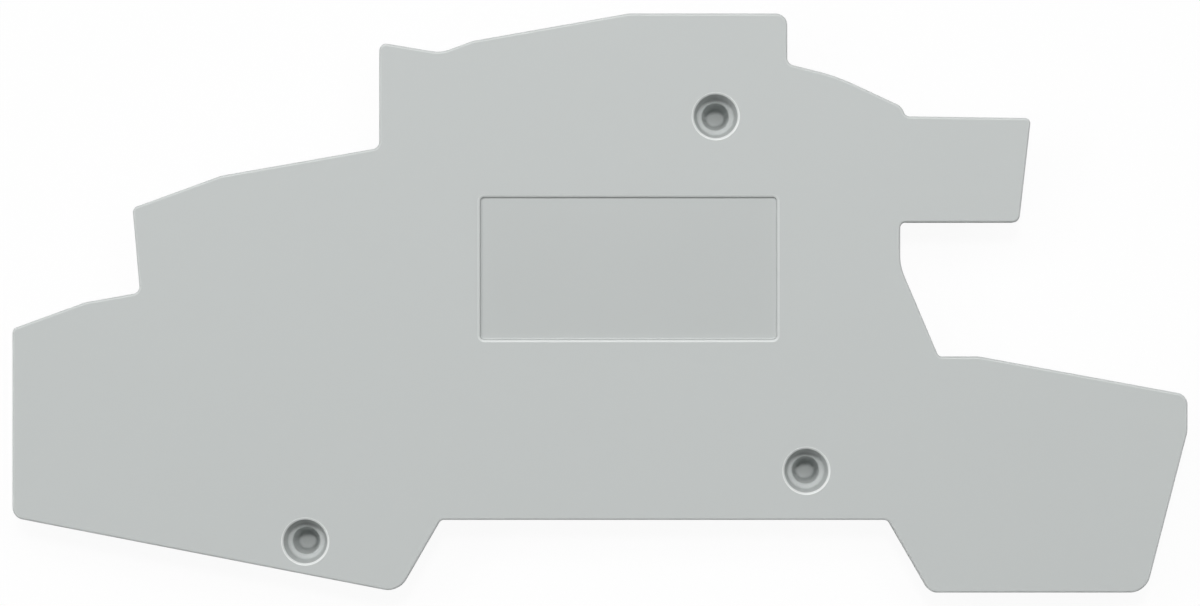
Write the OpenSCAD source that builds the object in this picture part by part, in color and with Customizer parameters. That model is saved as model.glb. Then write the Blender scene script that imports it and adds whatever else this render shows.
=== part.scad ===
// End cover for a rail-mounted terminal block, moulded in one piece.
// It lies flat on its pin tips: +X along its length, +Y from the feet to the crown,
// +Z out of the front face. The origin is in the middle of the outline, level with the tips.
// Places in the outline are measured from the left end and from the base of the feet.

/* [Overall] */
// Length from the left end to the tip of the right lobe
cover_length = 105.1; // [102:0.1:112]
// Height from the base of the feet to the crown
cover_height = 51.8; // [50:0.1:56]
// Thickness from the seating rim to the front face
cover_t = 2.2; // [1.9:0.1:3.5]

/* [Rail foot] */
// Width of the opening over the rail, across its top
rail_gap_w = 40; // [37:0.5:43]
// Depth of the opening over the rail
rail_gap_depth = 6.5; // [5:0.1:8]
// Place of the opening's upper left corner
rail_gap_x = 38.3; // [36:0.1:40]
// Slope of the flanks inside the feet
foot_flank_slope = 60; // [50:1:75]
// Slope of the underside from the left foot up to the left end
underside_slope = 11; // [7:0.5:14]

/* [Left steps] */
// Height of the left end
left_end_height = 23.6; // [21:0.1:26]
// Place of the riser between the lower and the middle step
riser_x = 11.4; // [10:0.1:14]
// Height of the middle step at its lead edge
middle_step_height = 34.4; // [32:0.1:37]
// Run of the steep lead face on the lower step
lower_lead_run = 6.5; // [4:0.1:8]
// Run of the steep lead face on the middle step
middle_lead_run = 7.9; // [5:0.1:11]
// Slope of the steep lead faces
lead_slope = 20; // [15:1:25]
// Slope of the conductor entry faces behind them
entry_slope = 10; // [6:1:13]
// Lean of the riser from upright
riser_lean = 5; // [0:1:8]

/* [Tower] */
// Place of the tower's left face
tower_x = 32.8; // [30:0.1:35]
// Run of the ear on the tower's left top corner
ear_run = 5.5; // [4:0.1:7]
// Slope of the ear, falling towards the lead face
ear_slope = 9.5; // [5:0.5:12]
// Run of the lead face beside the ear
top_lead_run = 2.9; // [2:0.1:5]
// Run of the entry face between the lead face and the crown
top_entry_run = 13.9; // [11:0.1:16]
// Width of the flat crown
crown_w = 14.2; // [11:0.1:16]
// Drop of the tower's right face below the crown
tower_drop = 4.5; // [3.5:0.1:5.5]

/* [Right arm] */
// Run of the gentle half of the shoulder
shoulder_run = 4.4; // [3.5:0.1:5.5]
// Slope of the gentle half of the shoulder
shoulder_slope = 14; // [11:1:17]
// Run of the steep half of the shoulder
shoulder_fall_run = 5.8; // [4.5:0.1:6.5]
// Slope of the steep half of the shoulder
shoulder_fall_slope = 25; // [21:1:28]
// Run of the short step from the shoulder down to the arm
arm_step_run = 0.4; // [0.2:0.1:1]
// Height of that step
arm_step_h = 0.9; // [0.6:0.1:1.5]
// Reach of the arm beyond the neck
arm_reach = 11.7; // [9:0.1:14]
// Fall of the arm's top face towards its tip, in degrees
arm_top_slope = 0.8; // [0:0.1:2]
// Lean of the arm's end face, undercut from upright
arm_end_lean = 6.5; // [0:0.5:9]

/* [Side slot] */
// Clear height of the slot between the arm and the lobe
slot_h = 12; // [10.5:0.1:13]
// Height of the shelf below the slot
shelf_height = 21.1; // [20:0.1:22.5]
// Place of the neck behind the slot
neck_x = 79.4; // [77:0.1:81]
// Upright part of the neck, down from the arm
neck_straight = 3.9; // [2.5:0.1:6]
// Slope of the lower part of the neck
neck_slope = 67; // [58:1:80]
// Level run of the shelf before the lobe falls away
shelf_run = 3.7; // [2.5:0.1:6]

/* [Right lobe] */
// Height of the lobe's upper tip
lobe_tip_height = 17.7; // [16.5:0.1:19]
// Upright face at the end of the lobe
lobe_end_h = 3.3; // [2.5:0.1:5]
// Lean of the face below it, in towards the right foot
lobe_lean = 14.5; // [8:0.5:20]

/* [Corners] */
// Radius of the tight corners on edges, in the slot and in the rail opening
tight_r = 0.5; // [0.45:0.05:0.6]
// Radius of the ordinary corners
corner_r = 0.65; // [0.5:0.05:0.9]
// Radius of the rounder ends
end_r = 1.05; // [0.8:0.05:1.3]
// Radius of the feet
foot_r = 1.8; // [1.2:0.1:2.2]
// Radius that blends slopes a few degrees apart
blend_r = 2; // [1:0.5:3]
// Radius in the valley between the ear and the lead face
valley_r = 2.6; // [1:0.1:3]
// Radius in the bend of the neck
neck_r = 3.8; // [2:0.1:5]
// Radius over the bowed shoulder
shoulder_r = 14; // [6:1:18]

/* [Section] */
// Thickness of the skin behind the front face
skin_t = 1.2; // [0.9:0.1:1.5]
// Width of the seating rim round the back
rim_w = 1; // [0.7:0.1:1.3]
// Least radius inside the corners of the rim
rim_corner_r = 0.3; // [0.2:0.1:0.5]
// Break round the front edge
edge_break = 0.2; // [0.1:0.05:0.25]
// Width of the stiffening ribs
rib_w = 0.8; // [0.6:0.1:1.2]
// How far the ribs stay short of the seating rim
rib_gap = 0.2; // [0.1:0.1:0.5]
// Height of the rib that runs along the cover
spine_height = 16.4; // [15:0.1:17]
// Diameter of the round marks that the ejector pins leave on the back
ejector_d = 2.4; // [1.6:0.2:2.6]
// Depth of those marks
ejector_depth = 0.1; // [0.05:0.05:0.2]

/* [Label field] */
// Width of the shallow field for a label
label_w = 26.6; // [20:0.1:27]
// Height of the field
label_h = 12.8; // [9:0.1:14]
// Depth of the field
label_depth = 0.3; // [0.1:0.1:0.6]
// Radius of the field's corners
label_r = 0.4; // [0.2:0.1:1]
// From the tower's right face to the field
label_side_gap = 0.9; // [0.5:0.1:3]
// From the crown down to the field
label_top_gap = 16.4; // [15:0.1:18]
// Margin of the raised pad behind the field
pad_margin = 0.8; // [0.4:0.1:1.4]

/* [Pins] */
// Diameter of the pins
pin_d = 4; // [3.6:0.1:4.4]
// How far the pins stand out beyond the seating rim
pin_reach = 3; // [2.5:0.1:5]
// Height of the taper at the pin tips
pin_tip_h = 0.6; // [0.3:0.1:1]
// Diameter of the pin tips
pin_tip_d = 3; // [2.4:0.1:3.4]
// From the tower's right face to the crown pin
crown_pin_side = 6.4; // [4.5:0.1:9]
// From the crown down to the crown pin
crown_pin_drop = 9.2; // [7:0.1:11]
// From the right corner of the rail opening to the foot pin
foot_pin_side = 7.3; // [5:0.1:12]
// From the rail opening up to the foot pin
foot_pin_rise = 4.4; // [3.4:0.1:6]
// From the left corner of the rail opening to the wing pin
wing_pin_side = 12.1; // [9:0.1:20]
// From the sloping underside up to the wing pin, square to it
wing_pin_rise = 2.9; // [2.9:0.1:5]

/* [Pin pockets] */
// Diameter of the pocket at the mouth
pocket_d = 3.9; // [3.6:0.1:4]
// Diameter of the pocket at its ledge
ledge_d = 3.6; // [3.4:0.1:3.6]
// Depth of the ledge below the front face
ledge_depth = 1.8; // [1.4:0.1:2]
// Diameter of the inner bore below the ledge
inner_d = 2.5; // [2:0.1:2.6]
// Diameter of the floor
floor_d = 1.7; // [1.2:0.1:1.9]
// Thickness left at the pin tip
tip_t = 1; // [0.7:0.1:1.4]
// Radius of the pocket's mouth
mouth_r = 0.2; // [0.1:0.05:0.3]
// Radius of the inner bore's mouth
inner_mouth_r = 0.18; // [0.1:0.02:0.24]
// Wall of the boss round each pocket
boss_wall = 0.85; // [0.6:0.05:0.9]

/* [Hidden] */
$fn = 64;
housing_grey = [0.75, 0.77, 0.76];
// Largest angle between neighbouring points of a corner's arc, in degrees
arc_turn_angle = 12;
// How far a cutting shape runs past the face it cuts
cut_past = 0.1;

// Levels, up from the pin tips
seat_z = pin_reach;
front_z = seat_z + cover_t;
skin_z = front_z - skin_t;

// Feet and the opening between them
flank_run = rail_gap_depth / tan(foot_flank_slope);
rail_gap_right = rail_gap_x + rail_gap_w;
left_foot_x = rail_gap_x - flank_run;
right_foot_x = rail_gap_right + flank_run;

// Steps on the left
lower_lead_top = left_end_height + lower_lead_run * tan(lead_slope);
riser_foot_y = lower_lead_top + (riser_x - lower_lead_run) * tan(entry_slope);
riser_top_x = riser_x - (middle_step_height - riser_foot_y) * tan(riser_lean);
middle_lead_x = riser_top_x + middle_lead_run;
middle_lead_top = middle_step_height + middle_lead_run * tan(lead_slope);
tower_foot_y = middle_lead_top + (tower_x - middle_lead_x) * tan(entry_slope);

// Tower
valley_x = tower_x + ear_run;
entry_x = valley_x + top_lead_run;
crown_x = entry_x + top_entry_run;
tower_right = crown_x + crown_w;
entry_y = cover_height - top_entry_run * tan(entry_slope);
valley_y = entry_y - top_lead_run * tan(lead_slope);
ear_y = valley_y + ear_run * tan(ear_slope);

// Shoulder and arm
shoulder_y = cover_height - tower_drop;
bow_x = tower_right + shoulder_run;
bow_y = shoulder_y - shoulder_run * tan(shoulder_slope);
step_x = bow_x + shoulder_fall_run;
step_y = bow_y - shoulder_fall_run * tan(shoulder_fall_slope);
arm_foot_x = step_x + arm_step_run;
arm_foot_y = step_y - arm_step_h;
arm_tip_x = neck_x + arm_reach;
arm_tip_y = arm_foot_y - (arm_tip_x - arm_foot_x) * tan(arm_top_slope);

// Side slot and lobe
slot_top = shelf_height + slot_h;
arm_under_x = arm_tip_x - (arm_tip_y - slot_top) * tan(arm_end_lean);
neck_bend_y = slot_top - neck_straight;
shelf_x = neck_x + (slot_h - neck_straight) / tan(neck_slope);
lobe_low_y = lobe_tip_height - lobe_end_h;
lobe_base_x = cover_length - lobe_low_y * tan(lobe_lean);

// The outline's corners, counter-clockwise from the left foot, each with its radius
CORNERS = [
    [left_foot_x, 0, foot_r],
    [rail_gap_x, rail_gap_depth, tight_r],
    [rail_gap_right, rail_gap_depth, corner_r],
    [right_foot_x, 0, end_r],
    [lobe_base_x, 0, foot_r],
    [cover_length, lobe_low_y, blend_r],
    [cover_length, lobe_tip_height, end_r],
    [shelf_x + shelf_run, shelf_height, blend_r],
    [shelf_x, shelf_height, tight_r],
    [neck_x, neck_bend_y, neck_r],
    [neck_x, slot_top, tight_r],
    [arm_under_x, slot_top, corner_r],
    [arm_tip_x, arm_tip_y, tight_r],
    [arm_foot_x, arm_foot_y, tight_r],
    [step_x, step_y, end_r],
    [bow_x, bow_y, shoulder_r],
    [tower_right, shoulder_y, corner_r],
    [tower_right, cover_height, end_r],
    [crown_x, cover_height, blend_r],
    [entry_x, entry_y, blend_r],
    [valley_x, valley_y, valley_r],
    [tower_x, ear_y, corner_r],
    [tower_x, tower_foot_y, corner_r],
    [middle_lead_x, middle_lead_top, blend_r],
    [riser_top_x, middle_step_height, tight_r],
    [riser_x, riser_foot_y, corner_r],
    [lower_lead_run, lower_lead_top, blend_r],
    [0, left_end_height, tight_r],
    [0, left_foot_x * tan(underside_slope), end_r],
];

// Pins, each measured from the faces it stands beside
wing_pin_x = rail_gap_x - wing_pin_side;
wing_pin_y = (left_foot_x - wing_pin_x) * tan(underside_slope) + wing_pin_rise / cos(underside_slope);
PINS = [
    [tower_right - crown_pin_side, cover_height - crown_pin_drop],
    [rail_gap_right - foot_pin_side, rail_gap_depth + foot_pin_rise],
    [wing_pin_x, wing_pin_y],
];

// Lower left corner of the label field
label_x = tower_right - label_side_gap - label_w;
label_y = cover_height - label_top_gap - label_h;

// Ejector marks: in the lower step, middle step, tower, arm, lobe and above the rail opening
ejector_inset = rim_w + ejector_d;
EJECTORS = [
    [2 * ejector_inset, spine_height + ejector_inset],
    [riser_x + 2 * ejector_inset, middle_step_height - ejector_inset],
    [tower_x + 2 * ejector_inset, cover_height - 3 * ejector_inset],
    [neck_x + arm_reach / 2, shelf_height + slot_h + ejector_inset],
    [cover_length - 2 * ejector_inset, spine_height - 2 * ejector_inset],
    [rail_gap_x + rail_gap_w / 3, rail_gap_depth + ejector_inset],
];

function unit(v) = v / norm(v);

function left_of(v) = [-v.y, v.x];

function turned(v, angle) = [v.x * cos(angle) - v.y * sin(angle), v.x * sin(angle) + v.y * cos(angle)];

// Vector from a corner to where it goes when both its edges move left by one unit
function corner_shift(into, out) = (left_of(into) + left_of(out)) / (1 + into * out);

// Arc that rounds the corner at here, no larger than its two edges have room for
function corner_arc(before, here, after, r) =
    let (
        into = unit(here - before),
        out = unit(after - here),
        turn = atan2(cross(into, out), into * out),
        room = min(norm(here - before), norm(after - here)) / 2,
        fitted_r = min(r, room / tan(abs(turn) / 2)),
        reach = sign(turn) * fitted_r,
        centre = here + reach * corner_shift(into, out),
        steps = max(1, ceil(abs(turn) / arc_turn_angle))
    )
    [for (i = [0:steps]) centre - reach * turned(left_of(into), turn * i / steps)];

// The cover's outline with every edge moved inwards by inset
function outline(inset, least_r) =
    let (
        n = len(CORNERS),
        plain = [for (c = CORNERS) [c[0], c[1]]],
        moved = [
            for (i = [0:n - 1])
                let (
                    into = unit(plain[i] - plain[(i + n - 1) % n]),
                    out = unit(plain[(i + 1) % n] - plain[i])
                )
                plain[i] + inset * corner_shift(into, out)
        ]
    )
    [
        for (i = [0:n - 1])
            let (
                before = moved[(i + n - 1) % n],
                here = moved[i],
                after = moved[(i + 1) % n],
                convex = cross(here - before, after - here) > 0,
                r = convex ? max(CORNERS[i][2] - inset, least_r) : CORNERS[i][2] + inset
            )
            each corner_arc(before, here, after, r)
    ];

// Prism of the cover's outline between two levels
module outline_prism(low_z, high_z, inset = 0) {
    translate([0, 0, low_z])
        linear_extrude(height = high_z - low_z)
            polygon(outline(inset, rim_corner_r));
}

// Closed ring of triangular section that cuts the slanted break round the front edge
module front_edge_cut() {
    outer = outline(-cut_past, 0);
    inner = outline(edge_break + cut_past, 0);
    n = len(outer);
    low_z = front_z - edge_break - cut_past;
    high_z = front_z + cut_past;
    points = [
        for (p = outer) [p.x, p.y, low_z],
        for (p = inner) [p.x, p.y, high_z],
        for (p = outer) [p.x, p.y, high_z],
    ];
    faces = [
        for (ring = [0:2])
            for (i = [0:n - 1])
                let (next_ring = (ring + 1) % 3, j = (i + 1) % n)
                [ring * n + i, next_ring * n + i, next_ring * n + j, ring * n + j]
    ];
    polyhedron(points, faces);
}

// Rim that seats on the side of the block
module seating_rim() {
    difference() {
        outline_prism(seat_z, skin_z);
        outline_prism(seat_z - cut_past, skin_z + cut_past, rim_w);
    }
}

// Ribs through each pin and along the spine, from rim to rim
module stiffening_ribs() {
    rib_z = seat_z + rib_gap;
    intersection() {
        outline_prism(rib_z, skin_z, rim_w / 2);
        union() {
            for (p = PINS)
                translate([p.x - rib_w / 2, 0, rib_z])
                    cube([rib_w, cover_height, skin_z - rib_z]);
            translate([0, spine_height - rib_w / 2, rib_z])
                cube([cover_length, rib_w, skin_z - rib_z]);
        }
    }
}

// Rectangle with round corners, its lower left corner at the origin
module round_rectangle(w, h, r) {
    translate([r, 0])
        square([w - 2 * r, h]);
    translate([0, r])
        square([w, h - 2 * r]);
    for (x = [r, w - r])
        for (y = [r, h - r])
            translate([x, y])
                circle(r);
}

// Pad behind the label field that keeps the skin as thick there
module label_pad() {
    translate([label_x - pad_margin, label_y - pad_margin, skin_z - label_depth])
        linear_extrude(height = label_depth)
            round_rectangle(label_w + 2 * pad_margin, label_h + 2 * pad_margin, label_r + pad_margin);
}

// Round marks that the ejector pins leave in the back of the skin
module ejector_marks() {
    for (p = EJECTORS)
        translate([p.x, p.y, skin_z - cut_past])
            cylinder(h = ejector_depth + cut_past, d = ejector_d);
}

// Shallow field in the front face that takes a label
module label_field() {
    translate([label_x, label_y, front_z - label_depth])
        linear_extrude(height = label_depth + cut_past)
            round_rectangle(label_w, label_h, label_r);
}

// Pin with a tapered tip, on a boss that ends level with the seating rim
module pin() {
    cylinder(h = pin_tip_h, d1 = pin_tip_d, d2 = pin_d);
    translate([0, 0, pin_tip_h])
        cylinder(h = skin_z - pin_tip_h, d = pin_d);
    translate([0, 0, seat_z])
        cylinder(h = skin_z - seat_z, d = pocket_d + 2 * boss_wall);
}

// Half section that rounds a mouth of radius mouth at level z
module mouth_round(mouth, z, r) {
    difference() {
        translate([mouth - cut_past, z - r])
            square([r + cut_past, r + cut_past]);
        translate([mouth + r, z - r])
            circle(r);
    }
}

// Stepped pocket that hollows a pin from the front face
module pin_pocket() {
    ledge_z = front_z - ledge_depth;
    rotate_extrude() {
        polygon([
            [0, tip_t],
            [floor_d / 2, tip_t],
            [inner_d / 2, ledge_z - inner_mouth_r],
            [inner_d / 2, ledge_z],
            [ledge_d / 2, ledge_z],
            [pocket_d / 2, front_z - mouth_r],
            [pocket_d / 2, front_z + cut_past],
            [0, front_z + cut_past],
        ]);
        mouth_round(pocket_d / 2, front_z, mouth_r);
        mouth_round(inner_d / 2, ledge_z, inner_mouth_r);
    }
}

module end_cover() {
    color(housing_grey)
        translate([-cover_length / 2, -cover_height / 2, 0])
            difference() {
                union() {
                    outline_prism(skin_z, front_z);
                    seating_rim();
                    stiffening_ribs();
                    label_pad();
                    for (p = PINS)
                        translate([p.x, p.y, 0])
                            pin();
                }
                front_edge_cut();
                ejector_marks();
                label_field();
                for (p = PINS)
                    translate([p.x, p.y, 0])
                        pin_pocket();
            }
}

end_cover();
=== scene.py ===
"""Looks of a moulded terminal block end cover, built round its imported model.

The cover is one moulding. Its outline, section, pockets and pins follow the same driving
sizes as the solid model. They are given here in millimetres, and a mesh is scaled to metres
when it is finished.
"""

import logging
import math
from dataclasses import dataclass, field
from enum import Enum

import bmesh
import bpy
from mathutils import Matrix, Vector


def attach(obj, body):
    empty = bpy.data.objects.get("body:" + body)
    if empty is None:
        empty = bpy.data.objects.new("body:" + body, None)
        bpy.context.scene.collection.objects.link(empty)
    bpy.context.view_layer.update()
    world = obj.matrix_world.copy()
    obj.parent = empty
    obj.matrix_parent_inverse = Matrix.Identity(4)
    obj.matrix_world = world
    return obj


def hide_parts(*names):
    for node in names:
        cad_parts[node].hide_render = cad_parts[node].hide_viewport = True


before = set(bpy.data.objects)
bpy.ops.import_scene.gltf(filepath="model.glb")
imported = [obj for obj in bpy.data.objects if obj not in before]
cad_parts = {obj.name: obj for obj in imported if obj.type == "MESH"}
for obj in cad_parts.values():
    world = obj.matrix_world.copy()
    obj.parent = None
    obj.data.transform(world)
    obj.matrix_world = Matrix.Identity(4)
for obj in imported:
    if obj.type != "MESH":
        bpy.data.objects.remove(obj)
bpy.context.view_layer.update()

log = logging.getLogger("end_cover")

MM = 0.001
FULL_TURN = 2 * math.pi

# How far a cutting solid runs past the face that it cuts, and how close two points are one.
CUT_PAST = 0.4
MERGE_MM = 0.001

# Most turn of one chord in a corner, least turn at a crisp edge, and a pocket lip's angle to the
# front face where it crosses it.
ARC_STEP = math.radians(9)
SHARP_ANGLE = math.radians(35)
LIP_ANGLE = math.radians(25)

# Where the round at the foot of a drafted pocket wall ends, in degrees.
WALL_FOOT_END = -10

# A face between these upward shares of its normal is part of a round at the front, and its colour is
# made paler there as a painted highlight.
FLAT_RISE = 0.995
STEEP_RISE = 0.5

LARGE_FACES_ONLY = 100
POLYAMIDE_IOR = 1.53
CLOUD_LAYERS = 2
GRAIN_LAYERS = 3

Point = tuple[float, float]
Place = tuple[float, float, float]


class Join(Enum):
    """How one solid is combined with another."""

    ADD = "UNION"
    CUT = "DIFFERENCE"
    KEEP_COMMON = "INTERSECT"


def slope(degrees: float) -> float:
    """Rise over run of a slope given in degrees."""
    return math.tan(math.radians(degrees))


def arc(x: float, y: float, r: float, start: float, end: float, steps: int = 6) -> list[Point]:
    """Points of an arc.

    Args:
        x: The centre's first coordinate.
        y: The centre's second coordinate.
        r: The arc's radius.
        start: Angle of the first point, in degrees.
        end: Angle of the last point, in degrees.
        steps: Number of chords.

    Returns:
        The points from start to end.
    """
    angles = [math.radians(start + (end - start) * i / steps) for i in range(steps + 1)]
    return [(x + r * math.cos(a), y + r * math.sin(a)) for a in angles]


@dataclass(frozen=True)
class Corner:
    """One corner of a flat outline, in millimetres, with the radius that rounds it."""

    x: float
    y: float
    radius: float


@dataclass(frozen=True)
class CoverOutline:
    """Driving sizes of the cover's outline, in millimetres and degrees.

    Places are measured from the left end and from the base of the feet.
    """

    length: float = 105.1
    height: float = 51.8
    rail_gap_w: float = 40.0
    rail_gap_depth: float = 6.5
    rail_gap_x: float = 38.3
    foot_flank_slope: float = 60.0
    underside_slope: float = 11.0
    left_end_height: float = 23.6
    riser_x: float = 11.4
    middle_step_height: float = 34.4
    lower_lead_run: float = 6.5
    middle_lead_run: float = 7.9
    lead_slope: float = 20.0
    entry_slope: float = 10.0
    riser_lean: float = 5.0
    tower_x: float = 32.8
    ear_run: float = 5.5
    ear_slope: float = 9.5
    top_lead_run: float = 2.9
    top_entry_run: float = 13.9
    crown_w: float = 14.2
    tower_drop: float = 4.5
    shoulder_run: float = 4.4
    shoulder_slope: float = 14.0
    shoulder_fall_run: float = 5.8
    shoulder_fall_slope: float = 25.0
    arm_step_run: float = 0.4
    arm_step_h: float = 0.9
    arm_reach: float = 11.7
    arm_top_slope: float = 0.8
    arm_end_lean: float = 6.5
    slot_h: float = 12.0
    shelf_height: float = 21.1
    neck_x: float = 79.4
    neck_straight: float = 3.9
    neck_slope: float = 67.0
    shelf_run: float = 3.7
    lobe_tip_height: float = 17.7
    lobe_end_h: float = 3.3
    lobe_lean: float = 14.5
    tight_r: float = 0.5
    corner_r: float = 0.65
    end_r: float = 1.05
    foot_r: float = 1.8
    blend_r: float = 2.0
    valley_r: float = 2.6
    neck_r: float = 3.8
    shoulder_r: float = 14.0

    @property
    def tower_right(self) -> float:
        """Place of the tower's right face."""
        return self.tower_x + self.ear_run + self.top_lead_run + self.top_entry_run + self.crown_w

    @property
    def left_foot_x(self) -> float:
        """Place of the left foot's inner corner on the base."""
        return self.rail_gap_x - self.rail_gap_depth / slope(self.foot_flank_slope)

    @property
    def rail_gap_right(self) -> float:
        """Place of the rail opening's upper right corner."""
        return self.rail_gap_x + self.rail_gap_w

    def corners(self) -> list[Corner]:
        """Works out every corner, counter-clockwise from the left foot.

        Returns:
            The corners, each with its own radius.
        """
        return [*self._feet(), *self._right_side(), *self._tower(), *self._left_steps()]

    def _feet(self) -> list[Corner]:
        """Works out the feet and the opening over the rail.

        Returns:
            Their corners.
        """
        flank = self.rail_gap_depth / slope(self.foot_flank_slope)
        lobe_low = self.lobe_tip_height - self.lobe_end_h
        return [
            Corner(self.left_foot_x, 0, self.foot_r),
            Corner(self.rail_gap_x, self.rail_gap_depth, self.tight_r),
            Corner(self.rail_gap_right, self.rail_gap_depth, self.corner_r),
            Corner(self.rail_gap_right + flank, 0, self.end_r),
            Corner(self.length - lobe_low * slope(self.lobe_lean), 0, self.foot_r),
        ]

    def _right_side(self) -> list[Corner]:
        """Works out the lobe, the side slot, the arm and the shoulder.

        Returns:
            Their corners.
        """
        shelf_x = self.neck_x + (self.slot_h - self.neck_straight) / slope(self.neck_slope)
        slot_top = self.shelf_height + self.slot_h
        shoulder_y = self.height - self.tower_drop
        bow_x = self.tower_right + self.shoulder_run
        bow_y = shoulder_y - self.shoulder_run * slope(self.shoulder_slope)
        step_x = bow_x + self.shoulder_fall_run
        step_y = bow_y - self.shoulder_fall_run * slope(self.shoulder_fall_slope)
        arm_x = step_x + self.arm_step_run
        arm_y = step_y - self.arm_step_h
        tip_x = self.neck_x + self.arm_reach
        tip_y = arm_y - (tip_x - arm_x) * slope(self.arm_top_slope)
        under_x = tip_x - (tip_y - slot_top) * slope(self.arm_end_lean)
        return [
            Corner(self.length, self.lobe_tip_height - self.lobe_end_h, self.blend_r),
            Corner(self.length, self.lobe_tip_height, self.end_r),
            Corner(shelf_x + self.shelf_run, self.shelf_height, self.blend_r),
            Corner(shelf_x, self.shelf_height, self.tight_r),
            Corner(self.neck_x, slot_top - self.neck_straight, self.neck_r),
            Corner(self.neck_x, slot_top, self.tight_r),
            Corner(under_x, slot_top, self.corner_r),
            Corner(tip_x, tip_y, self.tight_r),
            Corner(arm_x, arm_y, self.tight_r),
            Corner(step_x, step_y, self.end_r),
            Corner(bow_x, bow_y, self.shoulder_r),
            Corner(self.tower_right, shoulder_y, self.corner_r),
        ]

    def _tower(self) -> list[Corner]:
        """Works out the crown, its entry face, the lead face and the ear.

        Returns:
            Their corners.
        """
        valley_x = self.tower_x + self.ear_run
        entry_x = valley_x + self.top_lead_run
        entry_y = self.height - self.top_entry_run * slope(self.entry_slope)
        valley_y = entry_y - self.top_lead_run * slope(self.lead_slope)
        return [
            Corner(self.tower_right, self.height, self.end_r),
            Corner(entry_x + self.top_entry_run, self.height, self.blend_r),
            Corner(entry_x, entry_y, self.blend_r),
            Corner(valley_x, valley_y, self.valley_r),
            Corner(self.tower_x, valley_y + self.ear_run * slope(self.ear_slope), self.corner_r),
        ]

    def _left_steps(self) -> list[Corner]:
        """Works out the conductor entry steps down to the left end.

        Returns:
            Their corners.
        """
        lower_top = self.left_end_height + self.lower_lead_run * slope(self.lead_slope)
        riser_foot = lower_top + (self.riser_x - self.lower_lead_run) * slope(self.entry_slope)
        riser_top_x = self.riser_x - (self.middle_step_height - riser_foot) * slope(self.riser_lean)
        lead_x = riser_top_x + self.middle_lead_run
        lead_y = self.middle_step_height + self.middle_lead_run * slope(self.lead_slope)
        tower_foot = lead_y + (self.tower_x - lead_x) * slope(self.entry_slope)
        return [
            Corner(self.tower_x, tower_foot, self.corner_r),
            Corner(lead_x, lead_y, self.blend_r),
            Corner(riser_top_x, self.middle_step_height, self.tight_r),
            Corner(self.riser_x, riser_foot, self.corner_r),
            Corner(self.lower_lead_run, lower_top, self.blend_r),
            Corner(0, self.left_end_height, self.tight_r),
            Corner(0, self.left_foot_x * slope(self.underside_slope), self.end_r),
        ]


@dataclass(frozen=True)
class Levels:
    """Heights of the section's faces above the pin tips, in millimetres."""

    pin_reach: float = 3.0
    cover_t: float = 2.2
    skin_t: float = 1.2
    rib_gap: float = 0.2

    @property
    def seat(self) -> float:
        """Level of the seating rim."""
        return self.pin_reach

    @property
    def front(self) -> float:
        """Level of the front face."""
        return self.pin_reach + self.cover_t

    @property
    def skin(self) -> float:
        """Level of the skin's back."""
        return self.front - self.skin_t

    @property
    def mid_skin(self) -> float:
        """Level inside the skin, where what stands on its back begins."""
        return self.front - self.skin_t / 2

    @property
    def rib(self) -> float:
        """Level of the ribs' free edges."""
        return self.seat + self.rib_gap


@dataclass(frozen=True)
class PinSizes:
    """Sizes of a hollow pin, its boss and its stepped pocket, in millimetres."""

    pin_d: float = 4.0
    tip_d: float = 3.0
    tip_h: float = 0.6
    tip_t: float = 1.0
    pocket_d: float = 3.9
    ledge_d: float = 3.4
    ledge_depth: float = 1.8
    inner_d: float = 2.4
    floor_d: float = 1.7
    mouth_r: float = 0.58
    lip_flare: float = 40.0
    inner_mouth_r: float = 0.15
    boss_wall: float = 0.85
    ledge_r: float = 0.29
    edge_r: float = 0.12
    root_r: float = 0.25
    steps: int = 96

    def pin_profile(self, levels: Levels) -> list[Point]:
        """Half section of the pin and its boss, from the tip to the skin.

        Args:
            levels: The heights of the cover's faces.

        Returns:
            (radius, level) pairs.
        """
        pin_r = self.pin_d / 2
        tip_r = self.tip_d / 2
        boss_r = self.pocket_d / 2 + self.boss_wall
        return [
            (0, 0),
            *arc(tip_r - self.edge_r, self.edge_r, self.edge_r, -90, 0),
            (pin_r, self.tip_h),
            *arc(pin_r + self.edge_r, levels.seat - self.edge_r, self.edge_r, 180, 90),
            *arc(boss_r - self.edge_r, levels.seat + self.edge_r, self.edge_r, -90, 0),
            *arc(boss_r + self.root_r, levels.skin - self.root_r, self.root_r, 180, 90),
            (boss_r + self.root_r, levels.mid_skin),
            (0, levels.mid_skin),
        ]

    def pocket_profile(self, levels: Levels) -> list[Point]:
        """Half section of the pocket, from its floor to its mouth.

        Args:
            levels: The heights of the cover's faces.

        Returns:
            (radius, level) pairs.
        """
        ledge = levels.front - self.ledge_depth
        mouth = self.pocket_d / 2 + self.mouth_r * math.cos(math.radians(self.lip_flare))
        mouth_level = levels.front - self.mouth_r * math.cos(LIP_ANGLE)
        inner = self.inner_d / 2
        foot, step = self.root_r, self.ledge_r
        return [
            (0, self.tip_t),
            *arc(self.floor_d / 2 - foot, self.tip_t + foot, foot, -90, WALL_FOOT_END),
            *arc(inner + self.inner_mouth_r, ledge - self.inner_mouth_r, self.inner_mouth_r, 180, 90),
            *arc(self.ledge_d / 2 - step, ledge + step, step, -90, WALL_FOOT_END),
            *arc(mouth, mouth_level, self.mouth_r, 180 - self.lip_flare, 90, steps=5),
            (mouth, levels.front + CUT_PAST),
            (0, levels.front + CUT_PAST),
        ]


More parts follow.
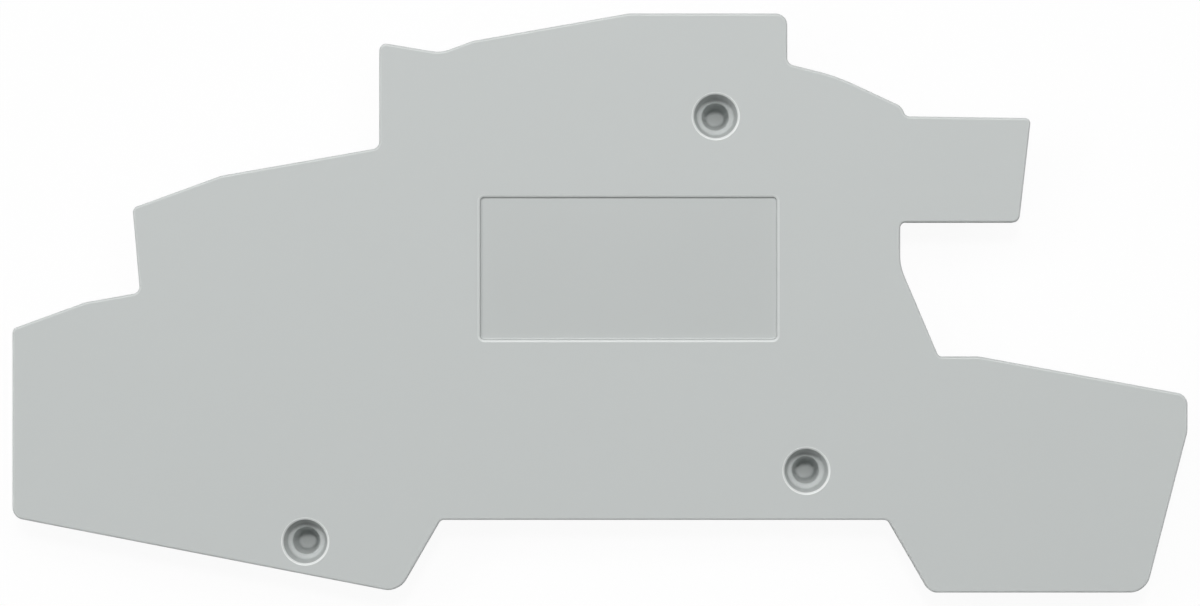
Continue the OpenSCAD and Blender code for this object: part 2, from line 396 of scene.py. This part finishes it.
@dataclass(frozen=True)
class LabelField:
    """Sizes of the shallow label field and of the pad behind it, in millimetres."""

    width: float = 26.6
    height: float = 12.8
    depth: float = 0.3
    corner_r: float = 0.4
    side_gap: float = 0.9
    top_gap: float = 16.4
    pad_margin: float = 0.8
    lip_r: float = 0.75
    lip_start: float = 12.0
    lip_end: float = 28.0
    foot_r: float = 0.14
    wall_draft: float = 16.0

    def corners(self, outline: CoverOutline, margin: float = 0.0) -> list[Corner]:
        """Corners of the field, or of a shape that runs past it.

        Args:
            outline: The cover's outline, which places the field.
            margin: How far the shape runs past the field on each side.

        Returns:
            The four corners, counter-clockwise.
        """
        right = outline.tower_right - self.side_gap + margin
        top = outline.height - self.top_gap + margin
        left = right - self.width - 2 * margin
        low = top - self.height - 2 * margin
        radius = self.corner_r + margin
        return [Corner(x, y, radius) for x, y in ((left, low), (right, low), (right, top), (left, top))]

    @property
    def lip_rise(self) -> float:
        """How far above the front face the lip's round starts, so that it crosses the face."""
        return self.lip_r * (1 - math.cos(math.radians(self.lip_start)))

    @property
    def lip_margin(self) -> float:
        """How far outside the field the lip's round starts."""
        return self.lip_r * math.sin(math.radians(self.lip_end))

    def wall_profile(self) -> list[Point]:
        """Section of the field's wall, from the lip's start to the floor.

        Returns:
            (inset, depth) pairs, measured from the lip's start.
        """
        lean = self.wall_draft
        lip = arc(0, self.lip_r, self.lip_r, -90, self.lip_end - 90, steps=4)
        inset, depth = lip[-1]
        foot_depth = self.depth + self.lip_rise - self.foot_r
        foot_start = arc(0, 0, self.foot_r, 180 - lean, 90, steps=3)
        run = (foot_depth + foot_start[0][1] - depth) * slope(lean)
        centre_x = inset + run - foot_start[0][0]
        return lip[1:] + [(centre_x + x, foot_depth + y) for x, y in foot_start]


@dataclass(frozen=True)
class Finish:
    """A moulded polyamide surface, as the tool steel behind it was left. In some finishes the colour
    also holds a painted highlight or painted shade.
    """

    name: str
    roughness: float
    grain_mm: float
    grain_depth_mm: float
    colour: tuple[float, float, float] = (0.539, 0.565, 0.558)
    cloud_mm: float = 11.0
    tone_share: float = 0.012
    roughness_share: float = 0.12

    def material(self, texture: bpy.types.NodeTree) -> bpy.types.Material:
        """Makes the finish's material.

        Args:
            texture: The shared node group of the mould's texture.

        Returns:
            The material.
        """
        made = bpy.data.materials.new(self.name)
        made.use_nodes = True
        tree = made.node_tree
        shader = tree.nodes["Principled BSDF"]
        shader.inputs["IOR"].default_value = POLYAMIDE_IOR
        grain = tree.nodes.new("ShaderNodeGroup")
        grain.node_tree = texture
        values = {
            "Colour": (*self.colour, 1),
            "Roughness": self.roughness,
            "Grain Size": self.grain_mm,
            "Cloud Size": self.cloud_mm,
            "Tone Share": self.tone_share,
            "Roughness Share": self.roughness_share,
        }
        for socket, value in values.items():
            grain.inputs[socket].default_value = value
        bump = tree.nodes.new("ShaderNodeBump")
        bump.inputs["Distance"].default_value = self.grain_depth_mm * MM
        tree.links.new(grain.outputs["Colour"], shader.inputs["Base Color"])
        tree.links.new(grain.outputs["Roughness"], shader.inputs["Roughness"])
        tree.links.new(grain.outputs["Height"], bump.inputs["Height"])
        tree.links.new(bump.outputs["Normal"], shader.inputs["Normal"])
        return made


class Surface(Enum):
    """The finishes that the mould leaves on the cover, with paler copies whose colour is a painted
    highlight, and a darker pocket colour that is painted shade.
    """

    FACE = Finish("fine_eroded_face", roughness=0.5, grain_mm=0.11, grain_depth_mm=0.004)
    FIELD = Finish(
        "label_field", roughness=0.32, grain_mm=0.08, grain_depth_mm=0.001, colour=(0.523, 0.548, 0.541)
    )
    # Darker colour inside the pockets: painted shade in the recesses. The roughness and grain are the
    # cored finish's own.
    CORE = Finish(
        "cored_pocket_painted_shade", roughness=0.6, grain_mm=0.08, grain_depth_mm=0.0005, colour=(0.49, 0.513, 0.507)
    )
    BACK = Finish("plain_back", roughness=0.45, grain_mm=0.16, grain_depth_mm=0.004)
    # Paler colour on the front face's outer rounds: a painted highlight.
    EDGE = Finish(
        "edge_painted_highlight", roughness=0.4, grain_mm=0.11, grain_depth_mm=0.001, colour=(0.59, 0.615, 0.608)
    )
    # Paler colour on the label field's lip: a painted highlight.
    FIELD_LIP = Finish(
        "field_lip_painted_highlight", roughness=0.35, grain_mm=0.11, grain_depth_mm=0.001, colour=(0.65, 0.675, 0.667)
    )
    # Much paler colour on the pocket lips: a painted highlight in place of the bright glint round each
    # mouth.
    LIP = Finish(
        "lip_painted_highlight", roughness=0.3, grain_mm=0.11, grain_depth_mm=0.001, colour=(0.84, 0.865, 0.855)
    )


class MouldTexture:
    """Node group for the grain and the faint clouds of a moulded surface."""

    INPUTS = {
        "Colour": "NodeSocketColor",
        "Roughness": "NodeSocketFloat",
        "Grain Size": "NodeSocketFloat",
        "Cloud Size": "NodeSocketFloat",
        "Tone Share": "NodeSocketFloat",
        "Roughness Share": "NodeSocketFloat",
    }
    OUTPUTS = {"Colour": "NodeSocketColor", "Roughness": "NodeSocketFloat", "Height": "NodeSocketFloat"}

    def __init__(self) -> None:
        """Starts the group with its sockets."""
        self.tree = bpy.data.node_groups.new("mould_texture", "ShaderNodeTree")
        for name, kind in self.INPUTS.items():
            self.tree.interface.new_socket(name, in_out="INPUT", socket_type=kind)
        for name, kind in self.OUTPUTS.items():
            self.tree.interface.new_socket(name, in_out="OUTPUT", socket_type=kind)
        self.given = self.tree.nodes.new("NodeGroupInput").outputs
        self.result = self.tree.nodes.new("NodeGroupOutput").inputs

    def math(self, operation: str, first: object, second: object) -> bpy.types.NodeSocket:
        """Adds a Math node.

        Args:
            operation: The node's operation.
            first: A socket or a number.
            second: A socket or a number.

        Returns:
            The node's output.
        """
        step = self.tree.nodes.new("ShaderNodeMath")
        step.operation = operation
        for socket, value in zip(step.inputs, (first, second)):
            if isinstance(value, bpy.types.NodeSocket):
                self.tree.links.new(value, socket)
            else:
                socket.default_value = value
        return step.outputs[0]

    def noise(self, size_mm: bpy.types.NodeSocket, detail: float) -> bpy.types.NodeSocket:
        """Adds a noise of a given size on the object's own coordinates.

        Args:
            size_mm: Size of its features, in millimetres.
            detail: Number of finer layers.

        Returns:
            The noise's value, from 0 to 1.
        """
        place = self.tree.nodes.new("ShaderNodeTexCoord")
        pattern = self.tree.nodes.new("ShaderNodeTexNoise")
        pattern.inputs["Detail"].default_value = detail
        self.tree.links.new(place.outputs["Object"], pattern.inputs["Vector"])
        self.tree.links.new(self.math("DIVIDE", 1 / MM, size_mm), pattern.inputs["Scale"])
        return pattern.outputs["Fac"]

    def build(self) -> bpy.types.NodeTree:
        """Wires the group.

        Returns:
            The group's node tree.
        """
        cloud = self.math("SUBTRACT", self.noise(self.given["Cloud Size"], CLOUD_LAYERS), 0.5)
        tone = self.math("ADD", 1.0, self.math("MULTIPLY", cloud, self.given["Tone Share"]))
        tinted = self.tree.nodes.new("ShaderNodeVectorMath")
        tinted.operation = "SCALE"
        self.tree.links.new(self.given["Colour"], tinted.inputs["Vector"])
        self.tree.links.new(tone, tinted.inputs["Scale"])
        self.tree.links.new(tinted.outputs["Vector"], self.result["Colour"])
        shine = self.math("ADD", 1.0, self.math("MULTIPLY", cloud, self.given["Roughness Share"]))
        roughness = self.math("MULTIPLY", self.given["Roughness"], shine)
        self.tree.links.new(roughness, self.result["Roughness"])
        grain = self.noise(self.given["Grain Size"], GRAIN_LAYERS)
        self.tree.links.new(grain, self.result["Height"])
        return self.tree


class Solid:
    """A closed mesh in the making, in the drawing's own millimetres."""

    def __init__(self, name: str, origin: Vector) -> None:
        """Starts an empty mesh.

        Args:
            name: The object's name.
            origin: Where the drawing's zero lies in the model's frame, in millimetres.
        """
        self.name = name
        self.origin = origin
        self.bm = bmesh.new()

    def rounded_face(
        self, corners: list[Corner], level: float, inset: float = 0.0, least_r: float = 0.0
    ) -> None:
        """Lays a flat face with rounded corners.

        Args:
            corners: The face's corners, counter-clockwise.
            level: Its height.
            inset: How far each edge moves inwards.
            least_r: Least radius left in a corner that points outwards.
        """
        face = self.bm.faces.new([self.bm.verts.new((c.x, c.y, level)) for c in corners])
        face.normal_update()
        if inset:
            ring = bmesh.ops.inset_region(
                self.bm, faces=[face], thickness=inset, use_boundary=True, use_even_offset=True
            )
            bmesh.ops.delete(self.bm, geom=ring["faces"], context="FACES")
        verts = [loop.vert for loop in face.loops]
        places = [vert.co.copy() for vert in verts]
        for i, corner in enumerate(corners):
            into = places[i] - places[i - 1]
            out = places[(i + 1) % len(places)] - places[i]
            turn = abs(into.xy.angle_signed(out.xy))
            convex = into.cross(out).z > 0
            radius = max(corner.radius - inset, least_r) if convex else corner.radius + inset
            bmesh.ops.bevel(
                self.bm,
                geom=[verts[i]],
                offset=min(radius * math.tan(turn / 2), into.length / 2, out.length / 2),
                offset_type="OFFSET",
                affect="VERTICES",
                segments=max(1, math.ceil(turn / ARC_STEP)),
                profile=0.5,
                material=-1,
            )

    def profile_face(self, points: list[Place]) -> None:
        """Lays a face through the points of a section."""
        self.bm.faces.new([self.bm.verts.new(point) for point in points])

    def extrude(self, way: Place) -> None:
        """Extrudes the face drawn so far into a closed solid.

        Args:
            way: How far and which way it goes.
        """
        moved = bmesh.ops.extrude_face_region(self.bm, geom=self.bm.faces[:])
        verts = [part for part in moved["geom"] if isinstance(part, bmesh.types.BMVert)]
        bmesh.ops.translate(self.bm, verts=verts, vec=way)
        bmesh.ops.recalc_face_normals(self.bm, faces=self.bm.faces[:])

    def step_down(self, profile: list[Point]) -> None:
        """Carries the lowest face down along a wall's section.

        Args:
            profile: (inset, depth) pairs, both measured from where the face starts.
        """
        face = min(self.bm.faces, key=lambda f: f.calc_center_median().z)
        inset_before, depth_before = 0.0, 0.0
        for inset, depth in profile:
            bmesh.ops.inset_region(
                self.bm,
                faces=[face],
                thickness=inset - inset_before,
                depth=depth - depth_before,
                use_boundary=True,
                use_even_offset=True,
            )
            inset_before, depth_before = inset, depth

    def round_edges_at(self, level: float, radius: float, segments: int = 5) -> None:
        """Rounds every edge that lies at a level.

        Args:
            level: The level of the edges.
            radius: The round's radius.
            segments: Number of chords in the round.
        """
        edges = [e for e in self.bm.edges if all(abs(v.co.z - level) < MERGE_MM for v in e.verts)]
        bmesh.ops.bevel(
            self.bm,
            geom=edges,
            offset=radius,
            offset_type="OFFSET",
            affect="EDGES",
            segments=segments,
            profile=0.5,
            material=-1,
        )

    def revolve(self, profile: list[Point], centre: Point, steps: int) -> None:
        """Spins a half section about an upright axis.

        Args:
            profile: (radius, level) pairs that start and end on the axis.
            centre: The axis's place.
            steps: Number of steps in the full turn.
        """
        x, y = centre
        verts = [self.bm.verts.new((x + r, y, z)) for r, z in profile]
        edges = [self.bm.edges.new(pair) for pair in zip(verts, verts[1:])]
        bmesh.ops.spin(
            self.bm,
            geom=verts + edges,
            cent=(x, y, 0),
            axis=(0, 0, 1),
            angle=FULL_TURN,
            steps=steps,
            use_merge=True,
        )
        bmesh.ops.remove_doubles(self.bm, verts=self.bm.verts[:], dist=MERGE_MM)
        bmesh.ops.recalc_face_normals(self.bm, faces=self.bm.faces[:])

    def finish(self, material: bpy.types.Material) -> bpy.types.Object:
        """Moves the mesh to its place, in metres, and makes its object.

        Args:
            material: The finish of its surface.

        Returns:
            The new object.
        """
        bmesh.ops.translate(self.bm, verts=self.bm.verts[:], vec=self.origin)
        bmesh.ops.scale(self.bm, verts=self.bm.verts[:], vec=(MM, MM, MM))
        mesh = bpy.data.meshes.new(self.name)
        self.bm.to_mesh(mesh)
        self.bm.free()
        mesh.materials.append(material)
        piece = bpy.data.objects.new(self.name, mesh)
        bpy.context.scene.collection.objects.link(piece)
        return piece


def combine(base: bpy.types.Object, tool: bpy.types.Object, how: Join) -> None:
    """Combines one solid with another, which is then removed.

    Args:
        base: The solid that is kept.
        tool: The solid that is added, cut away or kept in common.
        how: The way to combine them.
    """
    step = base.modifiers.new(how.name, "BOOLEAN")
    step.operation = how.value
    step.solver = "EXACT"
    step.material_mode = "TRANSFER"
    step.object = tool
    depsgraph = bpy.context.evaluated_depsgraph_get()
    mesh = bpy.data.meshes.new_from_object(base.evaluated_get(depsgraph), depsgraph=depsgraph)
    base.modifiers.clear()
    old, base.data = base.data, mesh
    bpy.data.meshes.remove(old)
    spent = tool.data
    bpy.data.objects.remove(tool)
    bpy.data.meshes.remove(spent)


@dataclass
class EndCover:
    """The whole moulding: plate, rim, ribs, label field, pins and pockets."""

    outline: CoverOutline = field(default_factory=CoverOutline)
    levels: Levels = field(default_factory=Levels)
    pins: PinSizes = field(default_factory=PinSizes)
    label: LabelField = field(default_factory=LabelField)
    rim_w: float = 1.0
    rim_corner_r: float = 0.3
    front_edge_r: float = 0.22
    seat_edge_r: float = 0.1
    bay_fillet_r: float = 0.2
    rib_w: float = 0.8
    rib_edge_r: float = 0.12
    rib_root_r: float = 0.17
    spine_height: float = 16.4
    crown_pin_side: float = 6.4
    crown_pin_drop: float = 9.2
    foot_pin_side: float = 7.3
    foot_pin_rise: float = 4.4
    wing_pin_side: float = 12.1
    wing_pin_rise: float = 2.9
    ejector_d: float = 2.4
    ejector_depth: float = 0.1
    ejector_foot_r: float = 0.03
    # Depth below the front face within which rounds get a painted highlight.
    lip_zone: float = 0.2

    def __post_init__(self) -> None:
        """Makes the finishes that the solids are dressed in."""
        texture = MouldTexture().build()
        self.looks = {surface: surface.value.material(texture) for surface in Surface}

    def solid(self, name: str) -> Solid:
        """Starts a solid in the cover's drawing."""
        return Solid(name, Vector((-self.outline.length / 2, -self.outline.height / 2, 0)))

    def pin_places(self) -> list[Point]:
        """Works out where the pins stand, each from the faces that it stands beside.

        Returns:
            The crown pin's, the foot pin's and the wing pin's place.
        """
        o = self.outline
        wing_x = o.rail_gap_x - self.wing_pin_side
        lean = math.radians(o.underside_slope)
        wing_y = (o.left_foot_x - wing_x) * math.tan(lean) + self.wing_pin_rise / math.cos(lean)
        return [
            (o.tower_right - self.crown_pin_side, o.height - self.crown_pin_drop),
            (o.rail_gap_right - self.foot_pin_side, o.rail_gap_depth + self.foot_pin_rise),
            (wing_x, wing_y),
        ]

    def plate(self) -> bpy.types.Object:
        """Makes the full-thickness plate, with its front and seating edges rounded.

        Returns:
            The plate.
        """
        solid = self.solid("cover_shell")
        solid.rounded_face(self.outline.corners(), self.levels.seat)
        solid.extrude((0, 0, self.levels.cover_t))
        solid.round_edges_at(self.levels.front, self.front_edge_r)
        solid.round_edges_at(self.levels.seat, self.seat_edge_r, segments=3)
        return solid.finish(self.looks[Surface.FACE])

    def bay(self) -> bpy.types.Object:
        """Makes the hollow inside the seating rim.

        Returns:
            The solid to cut away.
        """
        solid = self.solid("bay")
        low = self.levels.seat - CUT_PAST
        solid.rounded_face(self.outline.corners(), low, self.rim_w, self.rim_corner_r)
        solid.extrude((0, 0, self.levels.skin - low))
        solid.round_edges_at(self.levels.skin, self.bay_fillet_r, segments=4)
        return solid.finish(self.looks[Surface.BACK])

    def backing_limit(self) -> bpy.types.Object:
        """Makes the prism that ribs and bosses stay inside, so that they end within the rim.

        Returns:
            The prism.
        """
        solid = self.solid("backing_limit")
        solid.rounded_face(self.outline.corners(), -CUT_PAST, self.rim_w / 2, self.rim_corner_r)
        solid.extrude((0, 0, self.levels.front))
        return solid.finish(self.looks[Surface.BACK])

    def rib_section(self) -> list[Point]:
        """Section of a rib, round at its edge and flared at its root.

        Returns:
            (side, level) pairs, counter-clockwise.
        """
        half = self.rib_w / 2
        edge, root = self.rib_edge_r, self.rib_root_r
        right = [
            *arc(half - edge, self.levels.rib + edge, edge, -90, 0, steps=4),
            *arc(half + root, self.levels.skin - root, root, 180, 90, steps=4),
            (half + root, self.levels.mid_skin),
        ]
        return right + [(-side, level) for side, level in reversed(right)]

    def ribs(self) -> bpy.types.Object:
        """Makes the ribs through each pin and along the spine.

        Returns:
            The ribs, as one solid.
        """
        section = self.rib_section()
        along = self.solid("ribs")
        along.profile_face([(0, self.spine_height + side, level) for side, level in section])
        along.extrude((self.outline.length, 0, 0))
        joined = along.finish(self.looks[Surface.BACK])
        for x, _ in self.pin_places():
            across = self.solid("rib")
            across.profile_face([(x + side, 0, level) for side, level in section])
            across.extrude((0, self.outline.height, 0))
            combine(joined, across.finish(self.looks[Surface.BACK]), Join.ADD)
        return joined

    def label_pad(self) -> bpy.types.Object:
        """Makes the pad behind the label field, which keeps the skin as thick there.

        Returns:
            The pad.
        """
        solid = self.solid("label_pad")
        low = self.levels.skin - self.label.depth
        solid.rounded_face(self.label.corners(self.outline, self.label.pad_margin), low)
        solid.extrude((0, 0, self.levels.mid_skin - low))
        solid.round_edges_at(low, self.label.foot_r, segments=3)
        return solid.finish(self.looks[Surface.BACK])

    def label_cut(self) -> bpy.types.Object:
        """Makes the label field's hollow, with a flare at its lip and a round at its foot.

        Returns:
            The solid to cut away.
        """
        solid = self.solid("label_cut")
        start = self.levels.front + self.label.lip_rise
        solid.rounded_face(self.label.corners(self.outline, self.label.lip_margin), start)
        solid.extrude((0, 0, CUT_PAST))
        solid.step_down(self.label.wall_profile())
        return solid.finish(self.looks[Surface.FIELD])

    def ejector_places(self) -> list[Point]:
        """Works out the ejector marks' places, clear of the rim, the ribs, the pad and the pins.

        Returns:
            One place for each mark.
        """
        o = self.outline
        inset = self.rim_w + self.ejector_d
        return [
            (2 * inset, self.spine_height + inset),
            (o.riser_x + 2 * inset, o.middle_step_height - inset),
            (o.tower_x + 2 * inset, o.height - 3 * inset),
            (o.neck_x + o.arm_reach / 2, o.shelf_height + o.slot_h + inset),
            (o.length - 2 * inset, self.spine_height - 2 * inset),
            (o.rail_gap_x + o.rail_gap_w / 3, o.rail_gap_depth + inset),
        ]

    def ejector_profile(self) -> list[Point]:
        """Half section of the mark that an ejector pin leaves.

        Returns:
            (radius, level) pairs.
        """
        low = self.levels.skin - CUT_PAST
        top = self.levels.skin + self.ejector_depth
        r, foot = self.ejector_d / 2, self.ejector_foot_r
        return [(0, low), (r, low), *arc(r - foot, top - foot, foot, 0, 90, steps=3), (0, top)]

    def turned(
        self, name: str, profile: list[Point], centres: list[Point], surface: Surface
    ) -> bpy.types.Object:
        """Makes solids of revolution of one section, at several places.

        Args:
            name: The object's name.
            profile: (radius, level) pairs that start and end on the axis.
            centres: The places of the axes.
            surface: The finish of their surface.

        Returns:
            The one object that holds them.
        """
        solid = self.solid(name)
        for centre in centres:
            solid.revolve(profile, centre, self.pins.steps)
        return solid.finish(self.looks[surface])

    def build(self) -> bpy.types.Object:
        """Builds the moulding.

        Returns:
            Its object, with one closed mesh.
        """
        places = self.pin_places()
        pins = self.turned("pins", self.pins.pin_profile(self.levels), places, Surface.BACK)
        marks = self.turned("marks", self.ejector_profile(), self.ejector_places(), Surface.BACK)
        pockets = self.turned("pockets", self.pins.pocket_profile(self.levels), places, Surface.CORE)
        backing = self.ribs()
        combine(backing, pins, Join.ADD)
        combine(backing, self.backing_limit(), Join.KEEP_COMMON)
        cover = self.plate()
        combine(cover, self.label_cut(), Join.CUT)
        combine(cover, self.bay(), Join.CUT)
        combine(cover, marks, Join.CUT)
        combine(cover, self.label_pad(), Join.ADD)
        combine(cover, backing, Join.ADD)
        combine(cover, pockets, Join.CUT)
        self.paint_round_highlights(cover)
        self.smooth(cover)
        return cover

    def paint_round_highlights(self, cover: bpy.types.Object) -> None:
        """Paints highlights on the front face's outer rounds and its lips, by giving them paler copies
        of their finishes.

        Args:
            cover: The moulding.
        """
        mesh = cover.data
        paler = {Surface.FACE: Surface.EDGE, Surface.FIELD: Surface.FIELD_LIP, Surface.CORE: Surface.LIP}
        change = {}
        for before, after in paler.items():
            change[mesh.materials.find(self.looks[before].name)] = len(mesh.materials)
            mesh.materials.append(self.looks[after])
        low = (self.levels.front - self.lip_zone) * MM
        # Rounds near the front get the paler copies: painted highlights.
        for polygon in mesh.polygons:
            if polygon.center.z > low and FLAT_RISE > polygon.normal.z > STEEP_RISE:
                polygon.material_index = change.get(polygon.material_index, polygon.material_index)

    def smooth(self, cover: bpy.types.Object) -> None:
        """Shades the rounds smoothly and keeps the flat faces flat.

        Args:
            cover: The moulding.
        """
        cover.data.shade_smooth()
        cover.data.set_sharp_from_angle(angle=SHARP_ANGLE)
        weights = cover.modifiers.new("flat_faces", "WEIGHTED_NORMAL")
        weights.keep_sharp = True
        weights.weight = LARGE_FACES_ONLY


@dataclass(frozen=True)
class Studio:
    """Floor, soft lights and the camera that looks down on the cover."""

    photo_w: float = 1200.0
    mm_per_pixel: float = 0.0894
    camera_rise: float = 0.42
    lamp_distance: float = 1.2
    key_azimuth: float = 94.0
    key_lean: float = 19.0
    key_size: float = 0.17
    key_watts: float = 5.4
    ring_count: int = 16
    ring_azimuth: float = 115.0
    ring_shift: Point = (-0.22, -0.22)
    ring_lean: float = 48.0
    ring_size: float = 0.3
    ring_watts: float = 10.2
    ring_bias: float = 1.0
    ambient: float = 0.05
    floor_half: float = 3.0
    floor_colour: tuple[float, float, float] = (0.95, 0.95, 0.95)
    floor_roughness: float = 0.9
    floor_glow: float = 0.94

    def camera(self, front: float) -> None:
        """Sets the camera square above the cover, at the photograph's framing.

        Args:
            front: Height of the front face, in metres.
        """
        data = bpy.data.cameras.new("camera")
        data.lens = data.sensor_width * self.camera_rise / (self.photo_w * self.mm_per_pixel * MM)
        camera = bpy.data.objects.new("camera", data)
        camera.location = (0, 0, front + self.camera_rise)
        bpy.context.scene.collection.objects.link(camera)
        bpy.context.scene.camera = camera

    def lamp(
        self, name: str, lean: float, azimuth: float, size: float, watts: float, shift: Point = (0, 0)
    ) -> None:
        """Hangs a square soft lamp that faces the cover.

        Args:
            name: The lamp's name.
            lean: Its angle from straight overhead, in degrees.
            azimuth: Its direction in plan, in degrees from the +X axis.
            size: Length of its sides, in metres.
            watts: Its power.
            shift: How far it is moved sideways from there, in metres.
        """
        out, turn = math.sin(math.radians(lean)), math.radians(azimuth)
        away = Vector((out * math.cos(turn), out * math.sin(turn), math.cos(math.radians(lean))))
        data = bpy.data.lights.new(name, "AREA")
        data.size = size
        data.energy = watts
        lamp = bpy.data.objects.new(name, data)
        lamp.location = away * self.lamp_distance + Vector((*shift, 0))
        lamp.rotation_euler = away.to_track_quat("Z", "Y").to_euler()
        lamp.visible_camera = False
        bpy.context.scene.collection.objects.link(lamp)

    def lamps(self) -> None:
        """Hangs a key lamp beyond the crown and a ring of low lamps, strongest on the same side."""
        self.lamp("key", self.key_lean, self.key_azimuth, self.key_size, self.key_watts)
        for step in range(self.ring_count):
            azimuth = 360 * step / self.ring_count
            share = 1 + self.ring_bias * math.cos(math.radians(azimuth - self.ring_azimuth))
            watts = share * self.ring_watts / self.ring_count
            self.lamp(f"ring_{step}", self.ring_lean, azimuth, self.ring_size, watts, self.ring_shift)

    def floor(self) -> None:
        """Lays the pale floor that the pin tips stand on, which keeps a faint shadow."""
        bm = bmesh.new()
        bmesh.ops.create_grid(bm, x_segments=1, y_segments=1, size=self.floor_half)
        mesh = bpy.data.meshes.new("floor")
        bm.to_mesh(mesh)
        bm.free()
        made = bpy.data.materials.new("pale_floor")
        made.use_nodes = True
        tree = made.node_tree
        shader = tree.nodes["Principled BSDF"]
        shader.inputs["Base Color"].default_value = (*self.floor_colour, 1)
        shader.inputs["Roughness"].default_value = self.floor_roughness
        shader.inputs["Specular IOR Level"].default_value = 0.0
        path = tree.nodes.new("ShaderNodeLightPath")
        share = tree.nodes.new("ShaderNodeMath")
        share.operation = "MULTIPLY"
        share.inputs[1].default_value = self.floor_glow
        glow = tree.nodes.new("ShaderNodeEmission")
        mix = tree.nodes.new("ShaderNodeMixShader")
        tree.links.new(path.outputs["Is Camera Ray"], share.inputs[0])
        tree.links.new(share.outputs[0], mix.inputs[0])
        tree.links.new(shader.outputs[0], mix.inputs[1])
        tree.links.new(glow.outputs[0], mix.inputs[2])
        tree.links.new(mix.outputs[0], tree.nodes["Material Output"].inputs["Surface"])
        mesh.materials.append(made)
        floor = bpy.data.objects.new("floor", mesh)
        bpy.context.scene.collection.objects.link(floor)

    def world(self) -> None:
        """Shows a white background, and lights the scene with a little even fill."""
        world = bpy.data.worlds.new("studio")
        bpy.context.scene.world = world
        world.use_nodes = True
        tree = world.node_tree
        path = tree.nodes.new("ShaderNodeLightPath")
        level = tree.nodes.new("ShaderNodeMath")
        level.operation = "MAXIMUM"
        level.inputs[1].default_value = self.ambient
        tree.links.new(path.outputs["Is Camera Ray"], level.inputs[0])
        background = tree.nodes["Background"]
        background.inputs["Color"].default_value = (1, 1, 1, 1)
        tree.links.new(level.outputs[0], background.inputs["Strength"])

    def build(self, front: float) -> None:
        """Sets up camera, floor, world and lamps.

        Args:
            front: Height of the cover's front face, in metres.
        """
        self.camera(front)
        self.floor()
        self.world()
        self.lamps()
        bpy.context.scene.view_settings.view_transform = "Standard"


def main() -> None:
    """Builds the cover, dresses it and sets it in the studio."""
    logging.basicConfig(level=logging.INFO, format="%(name)s: %(message)s")
    cover = EndCover()
    piece = cover.build()
    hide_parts("end_cover")
    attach(piece, "root")
    log.info("%s: %d faces", piece.name, len(piece.data.polygons))
    Studio().build(cover.levels.front * MM)


if __name__ == "__main__":
    main()
